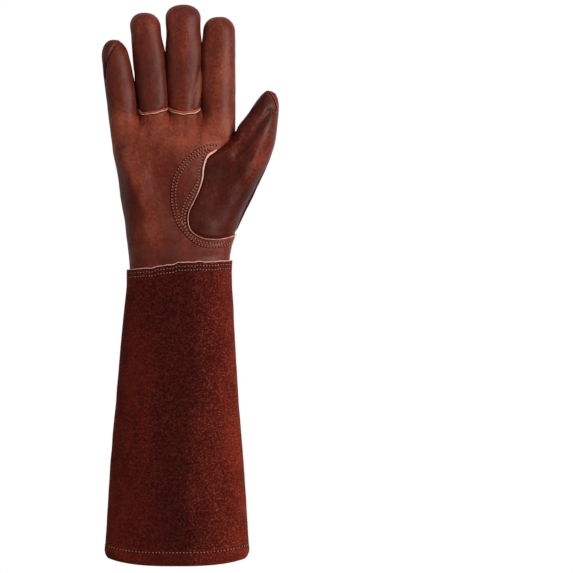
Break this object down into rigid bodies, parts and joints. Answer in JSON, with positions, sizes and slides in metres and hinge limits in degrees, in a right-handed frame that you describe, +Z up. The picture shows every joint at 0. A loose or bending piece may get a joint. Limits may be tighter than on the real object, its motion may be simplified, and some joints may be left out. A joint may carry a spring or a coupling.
{
  "type": "rose pruning gauntlet",
  "caption": "Long-cuffed leather gardening glove for the right hand, lying palm up, open and hollow from the flared suede cuff to the fingertips.",
  "frame": {"origin": "on the surface that the glove lies on, under the middle of its bounding box", "axes": "+Y from the hem of the cuff to the fingertips, +X to the thumb, +Z up from the back of the hand to the palm"},
  "size_m": [0.15, 0.4728, 0.057],
  "materials": {
    "grain_leather": "red-brown grain leather with a fine pebble and a satin gloss",
    "suede": "dark red-brown suede with a mottled nap and no gloss",
    "cut_edge": "pale raw cut edge of the leather, matt",
    "thread": "twisted sewing thread, light tan and dark brown, slight sheen"
  },
  "bodies": {
    "root": {"palm_panel": "grain_leather", "back_panel": "grain_leather", "ring_front": "grain_leather", "middle_front": "grain_leather", "fourchette_ring_little": "grain_leather", "fourchette_middle_ring": "grain_leather", "fourchette_index_middle": "grain_leather", "thumb": "grain_leather", "thumb_patch": "grain_leather", "thumb_welt": "cut_edge", "finger_base_welt": "cut_edge", "cuff": "suede"}
  },
  "joints": []
}
